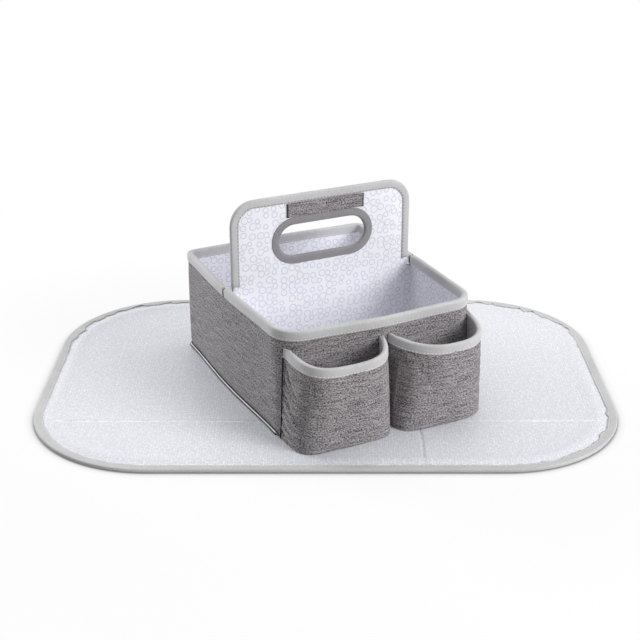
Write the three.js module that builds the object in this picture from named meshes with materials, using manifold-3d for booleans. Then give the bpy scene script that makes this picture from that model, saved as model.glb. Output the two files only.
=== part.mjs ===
// Fabric nursery caddy standing on its matching changing mat.
// Millimetres, +Z up. The origin is the middle of the mat's underside.
// +X runs along the caddy's front wall and +Y runs from its front wall to its back wall.
import * as THREE from "three";
import { mergeVertices } from "three/addons/utils/BufferGeometryUtils.js";
import Module from "manifold-3d";

const wasm = await Module();
wasm.setup();

// Clearances
const LAYER_GAP = 0.3; // between two layers that are sewn together
const SEAM_GAP = 0.6; // between two panels that meet at a seam

// Thickness of each material
const CLOTH = 1.2; // heather outer cloth
const LINING = 0.6; // printed lining
const TAPE = 0.7; // binding tape
const WALL_BOARD = 2.0; // stiffener in the walls
const BASE_BOARD = 2.5; // stiffener in the base
const DIVIDER_BOARD = 2.0; // stiffener in the divider
const POCKET_FOAM = 1.0; // padding in the pockets

// Body of the caddy
const BODY_WIDTH = 225; // across the side walls, at their corners
const BODY_LENGTH = 265; // from the front wall to the back wall, at their corners
const WALL_HEIGHT = 115;
const SIDE_BOW = 3.5; // how far a side wall swells out at its middle
const FRONT_BOW = 4;
const BACK_BOW = 3;
const FRONT_CORNER_BASE = 14; // the walls are squarer at the base than at the rim
const FRONT_CORNER_RIM = 30;
const BACK_CORNER_BASE = 8;
const BACK_CORNER_RIM = 9;
const RIM_TAPE_DROP = 10.5; // how far the rim's tape reaches down each face
const WELT_HEIGHT = 3; // pale welt along the foot of the walls
const WELT_THICKNESS = 1.2;

// Divider, which is also the carrying handle
const REAR_BAY = 125; // from the back wall to the middle of the divider
const DIVIDER_HEIGHT = 208.5; // from the caddy's underside to the top of the edge tape
const DIVIDER_CORNER = 27;
const DIVIDER_SIDE_CLEARANCE = 3.2; // from the edge tape to the rim's tape
const EDGE_TAPE_WIDTH = 9;
const HAND_HOLE_LENGTH = 103; // clear opening inside its tape
const HAND_HOLE_HEIGHT = 35;
const HOLE_TAPE_WIDTH = 9;
const GRIP_WIDTH = 90;
const GRIP_HEIGHT = 15.4; // between the hand hole's tape and the edge tape
const GRIP_OFFSET = 3; // the grip is sewn a little right of the middle

// Front pockets: each is squarer at the base and leans out to a rounder mouth
const POCKET_HEIGHT = 97; // at its two ends
const POCKET_DIP = 4.5; // the mouth is lower at its middle
const POCKET_BASE_REACH = 41; // ahead of the front wall's corners
const POCKET_MOUTH_REACH = 48;
const POCKET_BASE_INSET = 0.5; // from the body's side to the pocket's side
const LEFT_MOUTH_INSET = 8;
const RIGHT_MOUTH_INSET = 4;
const POCKET_CENTRE_GAP = 3; // between the two pockets
const POCKET_ROOT = 20; // how far the pocket's ends run in before the body trims them
const POCKET_TAPE_DROP = 10;
// Squareness of the outer and inner half of a pocket: 2 is an ellipse, larger is squarer
const LEFT_POCKET_SQUARE = { outerBase: 6, innerBase: 5.5, outerMouth: 3.7, innerMouth: 2.7 };
const RIGHT_POCKET_SQUARE = { outerBase: 3.2, innerBase: 7, outerMouth: 2.7, innerMouth: 2.1 };

// Changing mat
const MAT_LENGTH = 615;
const MAT_WIDTH = 427;
const MAT_CORNER = 132;
const MAT_TURN = -26; // degrees from the caddy's front wall
const MAT_SHEET = 0.6; // laminated top sheet and woven back sheet
const MAT_WADDING = 1.8;
const MAT_TAPE_WIDTH = 10;
const MAT_TAPE_LIFT = 0.1; // the mat rests on its back sheet, not on its tape
const CADDY_X = 5.2; // the caddy's middle from the mat's middle
const CADDY_Y = 11.3;

// Smoothness
const CORNER_STEPS = 6;
const SIDE_STEPS = 5;
const POCKET_STEPS = 24;
const POCKET_ROWS = 3;
const ROUND_STEPS = 8; // each arc of the divider's corners and hand hole
const MAT_CORNER_STEPS = 12;
const CUT = 5; // how far a cutting solid runs past what it cuts
const MERGE = 1e-4; // points closer than this are one point

// Worked out from the sizes above
const halfWidth = BODY_WIDTH / 2;
const halfLength = BODY_LENGTH / 2;
const dividerY = halfLength - REAR_BAY;
const boardOut = -(CLOTH + LAYER_GAP);
const boardIn = boardOut - WALL_BOARD;
const liningOut = boardIn - LAYER_GAP;
const wallIn = liningOut - LINING;
const tapeReach = LAYER_GAP + TAPE;
const baseBoardZ = CLOTH + LAYER_GAP;
const floorZ = baseBoardZ + BASE_BOARD + LAYER_GAP;
const coverY = DIVIDER_BOARD / 2 + LAYER_GAP;
const dividerHalf = coverY + LINING;
const gripHigh = DIVIDER_HEIGHT - EDGE_TAPE_WIDTH - LAYER_GAP;
const gripLow = gripHigh - GRIP_HEIGHT;
const handHoleZ = gripLow - LAYER_GAP - HOLE_TAPE_WIDTH - HAND_HOLE_HEIGHT / 2;
const pocketFoamOut = -(CLOTH + LAYER_GAP);
const pocketFoamIn = pocketFoamOut - POCKET_FOAM;
const pocketLiningOut = pocketFoamIn - LAYER_GAP;
const pocketIn = pocketLiningOut - LINING;
const matWaddingZ = MAT_SHEET + LAYER_GAP;
const matTopZ = matWaddingZ + MAT_WADDING + LAYER_GAP;
const matHeight = matTopZ + MAT_SHEET;

const heather = { color: 0x8b8484, roughness: 0.95 };
const print = { color: 0xe7e7ef, roughness: 0.85 };
const tape = { color: 0xbab9ba, roughness: 0.85 };
const darkTape = { color: 0x939193, roughness: 0.85 };
const board = { color: 0xb59a72, roughness: 0.9 };
const foam = { color: 0xf1efe6, roughness: 1.0 };
const laminate = { color: 0xe2e3e8, roughness: 0.3 };
const backing = { color: 0xd9d9dc, roughness: 0.8 };

// Helpers: numbers and outlines
function mix(a, b, t) {
  return a + (b - a) * t;
}

// A point on an outline with its outward normal.
function edgePoint(x, y, nx, ny) {
  const length = Math.hypot(nx, ny);
  return { x, y, nx: nx / length, ny: ny / length };
}

function shifted(points, distance) {
  return points.map((p) => new THREE.Vector2(p.x + p.nx * distance, p.y + p.ny * distance));
}

function cornerRun(cx, cy, radius, fromAngle, toAngle) {
  return Array.from({ length: CORNER_STEPS + 1 }, (_, i) => {
    const a = mix(fromAngle, toAngle, i / CORNER_STEPS);
    return edgePoint(cx + radius * Math.cos(a), cy + radius * Math.sin(a), Math.cos(a), Math.sin(a));
  });
}

// The body's corner radii at a height above the caddy's underside.
function frontCorner(z) {
  return mix(FRONT_CORNER_BASE, FRONT_CORNER_RIM, z / WALL_HEIGHT);
}

function backCorner(z) {
  return mix(BACK_CORNER_BASE, BACK_CORNER_RIM, z / WALL_HEIGHT);
}

// How far a side wall is from the middle at the place y, and the slope there.
function sideAt(y, z) {
  const from = -halfLength + frontCorner(z);
  const to = halfLength - backCorner(z);
  const t = Math.min(Math.max((y - from) / (to - from), 0), 1);
  const bow = SIDE_BOW * Math.sin(Math.PI * t) ** 2;
  const slope = (SIDE_BOW * Math.PI * Math.sin(2 * Math.PI * t)) / (to - from);
  return { x: halfWidth + bow, slope };
}

// One side wall's outer face: side is -1 for the left wall and 1 for the right wall.
function sideRun(side, fromY, toY, z) {
  return Array.from({ length: SIDE_STEPS + 1 }, (_, i) => {
    const y = mix(fromY, toY, i / SIDE_STEPS);
    const { x, slope } = sideAt(y, z);
    return edgePoint(side * x, y, side, -slope);
  });
}

// The front (end = -1) or back (end = 1) wall's outer face between its two corners.
function endRun(end, z) {
  const radius = end < 0 ? frontCorner(z) : backCorner(z);
  const bow = end < 0 ? FRONT_BOW : BACK_BOW;
  const half = halfWidth - radius;
  return Array.from({ length: 2 * SIDE_STEPS + 1 }, (_, i) => {
    const t = i / (2 * SIDE_STEPS);
    const x = end * mix(-half, half, t);
    const y = end * (halfLength + bow * Math.sin(Math.PI * t) ** 2);
    const slope = (bow * Math.PI * Math.sin(2 * Math.PI * t)) / (2 * half);
    return edgePoint(x, y, -end * slope, end);
  });
}

// The rear walls' outer face, clockwise from the left seam to the right seam.
function rearRun(z, fromDivider) {
  const start = dividerY + fromDivider;
  const radius = backCorner(z);
  const cy = halfLength - radius;
  const cx = halfWidth - radius;
  return joinRuns([
    sideRun(-1, start, cy, z),
    cornerRun(-cx, cy, radius, Math.PI, Math.PI / 2),
    endRun(1, z),
    cornerRun(cx, cy, radius, Math.PI / 2, 0),
    sideRun(1, cy, start, z),
  ]);
}

// The front walls' outer face, clockwise from the right seam to the left seam.
function frontRun(z, fromDivider) {
  const start = dividerY - fromDivider;
  const radius = frontCorner(z);
  const cy = -halfLength + radius;
  const cx = halfWidth - radius;
  return joinRuns([
    sideRun(1, start, cy, z),
    cornerRun(cx, cy, radius, 0, -Math.PI / 2),
    endRun(-1, z),
    cornerRun(-cx, cy, radius, -Math.PI / 2, -Math.PI),
    sideRun(-1, cy, start, z),
  ]);
}

// Runs that share their end points become one run.
function joinRuns(runs) {
  return runs.flatMap((run, i) => (i === 0 ? run : run.slice(1)));
}

function bodyOutline(z) {
  return joinRuns([rearRun(z, 0), frontRun(z, 0)]).slice(0, -1);
}

// Helpers: solids
function at(points, z) {
  return points.map((p) => new THREE.Vector3(p.x, p.y, z));
}

// The triangles of a strip whose loop goes out along one side and back along the other.
function ladderTriangles(count) {
  return Array.from({ length: count / 2 - 1 }, (_, i) => [
    [i, i + 1, count - 2 - i],
    [i, count - 2 - i, count - 1 - i],
  ]).flat();
}

// The triangles that close a loop, all facing up.
function capTriangles(loop, isStrip) {
  const triangles = isStrip ? ladderTriangles(loop.length) : THREE.ShapeUtils.triangulateShape(loop, []);
  const signed = triangles.map((t) => THREE.ShapeUtils.area(t.map((i) => loop[i])));
  const facesUp = signed.reduce((sum, area) => sum + area, 0) > 0;
  return triangles.map(([a, b, c]) => (facesUp ? [a, b, c] : [a, c, b]));
}

// A closed solid through loops of points that all have the same count, from the lowest up.
function loft(loops, isStrip) {
  const flat = loops.map((loop) => loop.map((p) => new THREE.Vector2(p.x, p.y)));
  const clockwise = THREE.ShapeUtils.isClockWise(flat[0]);
  const count = loops[0].length;
  const index = [];
  const face = (a, b, c) => index.push(a, clockwise ? c : b, clockwise ? b : c);
  for (let j = 0; j + 1 < loops.length; j++) {
    for (let i = 0; i < count; i++) {
      const next = (i + 1) % count;
      face(j * count + i, j * count + next, (j + 1) * count + next);
      face(j * count + i, (j + 1) * count + next, (j + 1) * count + i);
    }
  }
  const top = (loops.length - 1) * count;
  capTriangles(flat[0], isStrip).forEach(([a, b, c]) => index.push(a, c, b));
  const lid = capTriangles(flat.at(-1), isStrip);
  lid.forEach(([a, b, c]) => index.push(top + a, top + b, top + c));
  return new THREE.BufferGeometry().setFromPoints(loops.flat()).setIndex(index);
}

// A strip that stands along a run, between two offsets from its outer face and two heights.
function standing(runAt, outer, inner, fromZ, toZ) {
  const loops = [fromZ, toZ].map((z) => {
    const run = runAt(z);
    return at([...shifted(run, outer), ...shifted(run, inner).reverse()], z);
  });
  return loft(loops, true);
}

// A level plate inside a run's offset.
function plate(runAt, offset, fromZ, toZ) {
  const loops = [fromZ, toZ].map((z) => at(shifted(runAt(z), offset), z));
  return loft(loops, false);
}

// A shape drawn in X and Y and raised along Z.
function extruded(shape, depth, curveSegments) {
  const geometry = new THREE.ExtrudeGeometry(shape, { depth, bevelEnabled: false, curveSegments });
  geometry.deleteAttribute("normal");
  geometry.deleteAttribute("uv");
  return mergeVertices(geometry, MERGE);
}

function solidOf(geometry) {
  const bare = new THREE.BufferGeometry();
  bare.setAttribute("position", geometry.getAttribute("position"));
  bare.setIndex(geometry.getIndex());
  const merged = mergeVertices(bare, MERGE);
  return new wasm.Manifold(
    new wasm.Mesh({
      numProp: 3,
      vertProperties: merged.getAttribute("position").array,
      triVerts: new Uint32Array(merged.getIndex().array),
    }),
  );
}

function geometryOf(solid) {
  const mesh = solid.getMesh();
  const geometry = new THREE.BufferGeometry();
  geometry.setAttribute("position", new THREE.BufferAttribute(mesh.vertProperties, 3));
  geometry.setIndex(new THREE.BufferAttribute(mesh.triVerts, 1));
  return geometry;
}

function cut(geometry, ...tools) {
  const solid = tools.reduce((left, tool) => left.subtract(solidOf(tool)), solidOf(geometry));
  return geometryOf(solid);
}

function add(group, name, geometry, look) {
  const flat = geometry.index ? geometry.toNonIndexed() : geometry;
  flat.computeVertexNormals();
  const mesh = new THREE.Mesh(flat, new THREE.MeshStandardMaterial({ ...look, metalness: 0 }));
  mesh.name = name;
  group.add(mesh);
}

// Base: outer cloth, board and the two floors
function addBase(caddy) {
  add(caddy, "base_outer_cloth", plate(bodyOutline, 0, 0, CLOTH), heather);
  add(caddy, "base_board", plate(bodyOutline, boardOut, baseBoardZ, baseBoardZ + BASE_BOARD), board);
  const inside = wallIn - LAYER_GAP;
  const fromDivider = dividerHalf + LAYER_GAP;
  const rear = plate((z) => rearRun(z, fromDivider), inside, floorZ, floorZ + LINING);
  const front = plate((z) => frontRun(z, fromDivider), inside, floorZ, floorZ + LINING);
  add(caddy, "rear_floor_lining", rear, print);
  add(caddy, "front_floor_lining", front, print);
  const welt = (z) => {
    const leftFront = sideRun(-1, -halfLength + frontCorner(0), dividerY, z);
    const rightFront = sideRun(1, dividerY, -halfLength + frontCorner(0), z);
    return joinRuns([leftFront, rearRun(z, 0), rightFront]);
  };
  const outer = LAYER_GAP + WELT_THICKNESS;
  add(caddy, "base_welt", standing(welt, outer, LAYER_GAP, 0, WELT_HEIGHT), tape);
}

// Walls: an outer cloth, stiff boards and a lining for each half of the caddy
function addWalls(caddy) {
  const seam = SEAM_GAP / 2;
  const foot = baseBoardZ;
  const rearCloth = standing((z) => rearRun(z, seam), 0, -CLOTH, foot, WALL_HEIGHT);
  const frontCloth = standing((z) => frontRun(z, seam), 0, -CLOTH, foot, WALL_HEIGHT);
  add(caddy, "rear_wall_cloth", rearCloth, heather);
  add(caddy, "front_wall_cloth", frontCloth, heather);

  const inner = dividerHalf + LAYER_GAP;
  const rearLining = standing((z) => rearRun(z, inner), liningOut, wallIn, floorZ, WALL_HEIGHT);
  const frontLining = standing((z) => frontRun(z, inner), liningOut, wallIn, floorZ, WALL_HEIGHT);
  add(caddy, "rear_wall_lining", rearLining, print);
  add(caddy, "front_wall_lining", frontLining, print);

  const boards = {
    back_wall_board: (z) => endRun(1, z),
    front_wall_board: (z) => endRun(-1, z),
    left_rear_board: (z) => sideRun(-1, dividerY + inner, halfLength - backCorner(z), z),
    right_rear_board: (z) => sideRun(1, halfLength - backCorner(z), dividerY + inner, z),
    left_front_board: (z) => sideRun(-1, -halfLength + frontCorner(z), dividerY - inner, z),
    right_front_board: (z) => sideRun(1, dividerY - inner, -halfLength + frontCorner(z), z),
  };
  for (const [name, runAt] of Object.entries(boards)) {
    add(caddy, name, standing(runAt, boardOut, boardIn, floorZ, WALL_HEIGHT), board);
  }
}

// A tape folded over the top edge of the walls.
function rimTape(runAt, cutRunAt) {
  const low = WALL_HEIGHT - RIM_TAPE_DROP;
  const body = standing(runAt, tapeReach, wallIn - tapeReach, low, WALL_HEIGHT + tapeReach);
  const channelTop = WALL_HEIGHT + LAYER_GAP;
  const channel = standing(cutRunAt, LAYER_GAP, wallIn - LAYER_GAP, low - CUT, channelTop);
  return cut(body, channel);
}

function addRimTapes(caddy) {
  const seam = SEAM_GAP / 2;
  const past = seam - CUT;
  add(caddy, "rear_rim_tape", rimTape((z) => rearRun(z, seam), (z) => rearRun(z, past)), tape);
  add(caddy, "front_rim_tape", rimTape((z) => frontRun(z, seam), (z) => frontRun(z, past)), tape);
}

// Divider: an upright panel with round top corners, a wider foot sewn into the side seams
// and a hand hole. An inset shrinks its upper outline; a margin widens the hand hole.
const bodyHalfAtDivider = sideAt(dividerY, WALL_HEIGHT).x;
const taperedHalf = bodyHalfAtDivider + wallIn - tapeReach - DIVIDER_SIDE_CLEARANCE;
const footHalf = bodyHalfAtDivider - CLOTH - LAYER_GAP;
const shoulderZ = WALL_HEIGHT - RIM_TAPE_DROP - LAYER_GAP;

function roundedTop(shape, half, top, radius) {
  shape.lineTo(half, top - radius);
  shape.absarc(half - radius, top - radius, radius, 0, Math.PI / 2, false);
  shape.absarc(radius - half, top - radius, radius, Math.PI / 2, Math.PI, false);
}

function handHole(margin) {
  const radius = HAND_HOLE_HEIGHT / 2 + margin;
  const half = (HAND_HOLE_LENGTH - HAND_HOLE_HEIGHT) / 2;
  const hole = new THREE.Path();
  hole.absarc(half, handHoleZ, radius, -Math.PI / 2, Math.PI / 2, false);
  hole.absarc(-half, handHoleZ, radius, Math.PI / 2, (3 * Math.PI) / 2, false);
  return hole;
}

function dividerShape(inset, holeMargin) {
  const half = taperedHalf - inset;
  const shape = new THREE.Shape();
  shape.moveTo(-footHalf, floorZ);
  shape.lineTo(footHalf, floorZ);
  shape.lineTo(footHalf, shoulderZ);
  shape.lineTo(half, shoulderZ);
  roundedTop(shape, half, DIVIDER_HEIGHT - inset, DIVIDER_CORNER - inset);
  shape.lineTo(-half, shoulderZ);
  shape.lineTo(-footHalf, shoulderZ);
  shape.holes.push(handHole(holeMargin));
  return shape;
}

function archShape(inset, low) {
  const half = taperedHalf - inset;
  const shape = new THREE.Shape();
  shape.moveTo(-half, low);
  shape.lineTo(half, low);
  roundedTop(shape, half, DIVIDER_HEIGHT - inset, DIVIDER_CORNER - inset);
  return shape;
}

// A shape drawn in X and Z, from the place fromY to the place toY.
function upright(shape, fromY, toY) {
  const solid = extruded(shape, toY - fromY, ROUND_STEPS);
  return solid.rotateX(Math.PI / 2).translate(0, toY, 0);
}

function addDivider(caddy) {
  const divider = new THREE.Group();
  divider.position.y = dividerY;
  caddy.add(divider);
  const inside = dividerShape(tapeReach, tapeReach);
  add(divider, "divider_board", upright(inside, -DIVIDER_BOARD / 2, DIVIDER_BOARD / 2), board);
  add(divider, "divider_front_cover", upright(inside, -dividerHalf, -coverY), print);
  add(divider, "divider_rear_cover", upright(inside, coverY, dividerHalf), print);

  const face = dividerHalf + tapeReach;
  const bore = dividerHalf + LAYER_GAP;
  const tapeFoot = WALL_HEIGHT + tapeReach + LAYER_GAP;
  const arch = upright(archShape(0, tapeFoot), -face, face);
  const archChannel = upright(archShape(TAPE, tapeFoot - CUT), -bore, bore);
  const archWindow = upright(archShape(EDGE_TAPE_WIDTH, tapeFoot - CUT), -face - CUT, face + CUT);
  add(divider, "divider_edge_tape", cut(arch, archChannel, archWindow), tape);

  const ringShape = new THREE.Shape(handHole(HOLE_TAPE_WIDTH).getPoints(ROUND_STEPS));
  ringShape.holes.push(handHole(0));
  const channelShape = new THREE.Shape(handHole(HOLE_TAPE_WIDTH + CUT).getPoints(ROUND_STEPS));
  channelShape.holes.push(handHole(TAPE));
  const ring = upright(ringShape, -face, face);
  add(divider, "hand_hole_tape", cut(ring, upright(channelShape, -bore, bore)), darkTape);

  const grip = new THREE.BoxGeometry(GRIP_WIDTH, TAPE, GRIP_HEIGHT);
  grip.translate(GRIP_OFFSET, 0, (gripLow + gripHigh) / 2);
  const gripY = bore + TAPE / 2;
  add(divider, "front_grip_patch", grip.clone().translate(0, -gripY, 0), heather);
  add(divider, "rear_grip_patch", grip.clone().translate(0, gripY, 0), heather);
}

// Pockets. The outline runs from the pocket's outer end, round its front, to the middle.
function pocketLine(square, mouth, side) {
  const mouthInset = side < 0 ? LEFT_MOUTH_INSET : RIGHT_MOUTH_INSET;
  const outerX = halfWidth - (mouth ? mouthInset : POCKET_BASE_INSET);
  const innerX = POCKET_CENTRE_GAP / 2;
  const rootY = -halfLength + POCKET_ROOT;
  const frontY = -halfLength - (mouth ? POCKET_MOUTH_REACH : POCKET_BASE_REACH);
  return Array.from({ length: POCKET_STEPS + 1 }, (_, i) => {
    const a = (Math.PI * i) / POCKET_STEPS;
    const outer = mouth ? square.outerMouth : square.outerBase;
    const inner = mouth ? square.innerMouth : square.innerBase;
    const power = 2 / (i * 2 < POCKET_STEPS ? outer : inner);
    const across = Math.sign(Math.cos(a)) * Math.abs(Math.cos(a)) ** power;
    const x = mix(innerX, outerX, (1 + across) / 2);
    return new THREE.Vector2(side * x, mix(rootY, frontY, Math.sin(a) ** power));
  });
}

// The outline at a share of the pocket's height, with its outward normals.
function pocketRun(pocket, share) {
  const points = pocket.base.map((p, i) => p.clone().lerp(pocket.mouth[i], share));
  return points.map((p, i) => {
    const before = points[Math.max(i - 1, 0)];
    const after = points[Math.min(i + 1, POCKET_STEPS)];
    const nx = pocket.side * (before.y - after.y);
    const ny = pocket.side * (after.x - before.x);
    return edgePoint(p.x, p.y, nx, ny);
  });
}

// The pocket's top edge at step i, which dips at the middle of the mouth.
function pocketTop(i) {
  return POCKET_HEIGHT - POCKET_DIP * Math.sin((Math.PI * i) / POCKET_STEPS);
}

// A loop round a strip of the pocket's wall, with its height given at each step.
function pocketLoop(pocket, outer, inner, heightAt) {
  const place = (offset) =>
    pocket.base.map((_, i) => {
      const z = heightAt(i);
      const p = pocketRun(pocket, z / POCKET_HEIGHT)[i];
      return new THREE.Vector3(p.x + p.nx * offset, p.y + p.ny * offset, z);
    });
  return [...place(outer), ...place(inner).reverse()];
}

// The levels of the strip are shares of the way from its foot to its top edge.
function pocketStrip(pocket, outer, inner, footAt, above, levels) {
  const loops = levels.map((level) => {
    const heightAt = (i) => mix(footAt(i), pocketTop(i) + above, level);
    return pocketLoop(pocket, outer, inner, heightAt);
  });
  return loft(loops, true);
}

function addPocket(caddy, name, side, square) {
  const pocket = { side, base: pocketLine(square, false, side), mouth: pocketLine(square, true, side) };
  const bodyBlock = plate(bodyOutline, LAYER_GAP, -CUT, WALL_HEIGHT);
  const rows = Array.from({ length: POCKET_ROWS + 1 }, (_, i) => i / POCKET_ROWS);
  const strip = (outer, inner) => pocketStrip(pocket, outer, inner, () => 0, 0, rows);
  add(caddy, name + "_cloth", cut(strip(0, -CLOTH), bodyBlock), heather);
  add(caddy, name + "_foam", cut(strip(pocketFoamOut, pocketFoamIn), bodyBlock), foam);
  add(caddy, name + "_lining", cut(strip(pocketLiningOut, pocketIn), bodyBlock), print);

  const floor = plate(() => pocketRun(pocket, 0), pocketIn - LAYER_GAP, 0, CLOTH);
  add(caddy, name + "_floor", cut(floor, bodyBlock), heather);

  const foot = (i) => pocketTop(i) - POCKET_TAPE_DROP;
  const channelFoot = (i) => foot(i) - CUT;
  const folded = pocketStrip(pocket, tapeReach, pocketIn - tapeReach, foot, tapeReach, [0, 1]);
  const channelIn = pocketIn - LAYER_GAP;
  const channel = pocketStrip(pocket, LAYER_GAP, channelIn, channelFoot, LAYER_GAP, [0, 1]);
  add(caddy, name + "_tape", cut(folded, channel, bodyBlock), tape);
}

// Mat: a laminated sheet over wadding and a woven back, bound with tape
function matShape(inset) {
  const radius = MAT_CORNER - inset;
  const x = MAT_LENGTH / 2 - MAT_CORNER;
  const y = MAT_WIDTH / 2 - MAT_CORNER;
  const shape = new THREE.Shape();
  shape.absarc(x, y, radius, 0, Math.PI / 2, false);
  shape.absarc(-x, y, radius, Math.PI / 2, Math.PI, false);
  shape.absarc(-x, -y, radius, Math.PI, (3 * Math.PI) / 2, false);
  shape.absarc(x, -y, radius, (3 * Math.PI) / 2, 2 * Math.PI, false);
  return shape;
}

function matPlate(shape, fromZ, toZ) {
  return extruded(shape, toZ - fromZ, MAT_CORNER_STEPS).translate(0, 0, fromZ);
}

function addMat(group) {
  const mat = new THREE.Group();
  mat.rotation.z = THREE.MathUtils.degToRad(MAT_TURN);
  group.add(mat);
  const sheet = matShape(MAT_TAPE_WIDTH + LAYER_GAP);
  const padding = matShape(TAPE + LAYER_GAP);
  add(mat, "mat_back_sheet", matPlate(sheet, 0, MAT_SHEET), backing);
  add(mat, "mat_wadding", matPlate(padding, matWaddingZ, matWaddingZ + MAT_WADDING), foam);
  add(mat, "mat_top_sheet", matPlate(sheet, matTopZ, matHeight), laminate);

  const ring = matPlate(matShape(0), MAT_TAPE_LIFT, matHeight + MAT_TAPE_LIFT);
  const window = matPlate(matShape(MAT_TAPE_WIDTH), -CUT, matHeight + CUT);
  const channel = matPlate(matShape(TAPE), matWaddingZ - LAYER_GAP / 2, matTopZ - LAYER_GAP / 2);
  add(mat, "mat_edge_tape", cut(ring, window, channel), tape);
}

function buildCaddy() {
  const caddy = new THREE.Group();
  caddy.position.set(CADDY_X, CADDY_Y, matHeight + LAYER_GAP);
  addBase(caddy);
  addWalls(caddy);
  addRimTapes(caddy);
  addDivider(caddy);
  addPocket(caddy, "left_pocket", -1, LEFT_POCKET_SQUARE);
  addPocket(caddy, "right_pocket", 1, RIGHT_POCKET_SQUARE);
  return caddy;
}

const group = new THREE.Group();
addMat(group);
group.add(buildCaddy());

export default group;
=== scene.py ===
# %% [markdown]
# # A fabric nursery caddy on its changing mat
# The real caddy is sewn: stiff boards sit between a grey heather cloth and a white printed lining, and
# every raw edge is closed with a folded binding tape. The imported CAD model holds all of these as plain
# solids at their real size. This lesson measures the solids, sews a cloth piece over each soft one, and
# lights the set like a product photograph.

import math

import bmesh
import bpy
import numpy as np
from mathutils import Matrix, Vector, noise


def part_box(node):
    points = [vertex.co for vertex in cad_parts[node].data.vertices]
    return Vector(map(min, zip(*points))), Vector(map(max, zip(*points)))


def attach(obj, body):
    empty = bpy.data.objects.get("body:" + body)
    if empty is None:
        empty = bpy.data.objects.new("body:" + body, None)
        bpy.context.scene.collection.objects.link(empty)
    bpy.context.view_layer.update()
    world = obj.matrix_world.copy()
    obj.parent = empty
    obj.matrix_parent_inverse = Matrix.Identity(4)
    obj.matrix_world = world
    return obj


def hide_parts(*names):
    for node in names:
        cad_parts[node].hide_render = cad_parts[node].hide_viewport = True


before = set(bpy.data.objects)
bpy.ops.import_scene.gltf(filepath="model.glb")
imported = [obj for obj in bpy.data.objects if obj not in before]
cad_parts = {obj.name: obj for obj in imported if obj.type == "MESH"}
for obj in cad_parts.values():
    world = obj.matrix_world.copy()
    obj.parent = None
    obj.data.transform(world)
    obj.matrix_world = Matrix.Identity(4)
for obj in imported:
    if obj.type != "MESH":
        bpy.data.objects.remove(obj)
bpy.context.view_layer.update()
MM = 0.001
X = np.array((1.0, 0.0, 0.0))
Y = np.array((0.0, 1.0, 0.0))
UP = np.array((0.0, 0.0, 1.0))
FRONT = np.array((0.0, -1.0, 0.0))

# %% [markdown]
# ## Camera
# The photograph was taken with a longish lens, a little above the set and to the left of its front. A
# long lens keeps the sides of the mat almost parallel. The place and direction were worked out from the
# straight edges of the mat and of the caddy, so they are written as plain numbers.

# %% Camera
CAMERA_PLACE = Vector((-0.5708, -1.1566, 0.6325))
CAMERA_LOOK = Vector((0.4019, 0.8235, -0.4006))
lens = bpy.data.cameras.new("photo_camera")
lens.lens = 72
lens.sensor_width = 36
camera = bpy.data.objects.new("photo_camera", lens)
camera.location = CAMERA_PLACE
camera.rotation_euler = CAMERA_LOOK.to_track_quat("-Z", "Y").to_euler()
bpy.context.scene.collection.objects.link(camera)
bpy.context.scene.camera = camera
print("camera looks down by degrees:", round(math.degrees(-math.asin(CAMERA_LOOK.z))))

# %% [markdown]
# ## Materials: two helpers
# Colours are written as the hex values that a picture editor shows, and Blender wants linear light, so
# one function converts them. A second function adds a shader node with its settings and its links in one
# call.

# %% Helpers for materials
def linear(colour):
    """An sRGB hex colour as linear RGBA."""
    parts = [int(colour[i : i + 2], 16) / 255 for i in (1, 3, 5)]
    return [c / 12.92 if c <= 0.04045 else ((c + 0.055) / 1.055) ** 2.4 for c in parts] + [1]


def add(tree, kind, values=None, links=None, **settings):
    """Adds a shader node, sets its properties and input values, and links sources to its inputs."""
    made = tree.nodes.new("ShaderNode" + kind)
    for name, value in settings.items():
        setattr(made, name, value)
    for socket, value in (values or {}).items():
        made.inputs[socket].default_value = value
    for socket, source in (links or {}).items():
        tree.links.new(source, made.inputs[socket])
    return made


def start_material(name, constants):
    """A new material, its node tree and its Principled shader with constant inputs set."""
    material = bpy.data.materials.new(name)
    material.use_nodes = True
    tree = material.node_tree
    surface = tree.nodes["Principled BSDF"]
    for socket, value in constants.items():
        surface.inputs[socket].default_value = value
    return material, tree, surface


def per_mm(across, along=None):
    """Mapping scale that turns metres of cloth into counts of a pattern, given its size in mm."""
    return (1 / (across * MM), 1 / ((along or across) * MM), 1)


# %% [markdown]
# ## Heather cloth
# The outside is a polyester melange: yarns spun from dark and light fibres, woven plain. The eye sees
# short dark and light dashes along the weft, longer streaks where a yarn is thicker, a faint trace of the
# warp, and no shine. Three stretched noises stand for these. The real thread is about 0.4 mm and can't be
# told apart at this distance, so the dashes are drawn coarser. A piece may carry an attribute that follows
# its creases: there the colour is painted lighter on each ridge, a painted highlight, and darker in each
# valley, painted shade.

# %% Heather cloth
DASH = (2.0, 0.85)
STREAK = (22.0, 1.7)
WARP = (0.95, 2.1)
STREAK_SHARE = 0.3
WARP_SHARE = 0.25
CONTRAST = 0.14
SHADE_SIZE = 45.0
SHADE_SPREAD = 0.07


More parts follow.
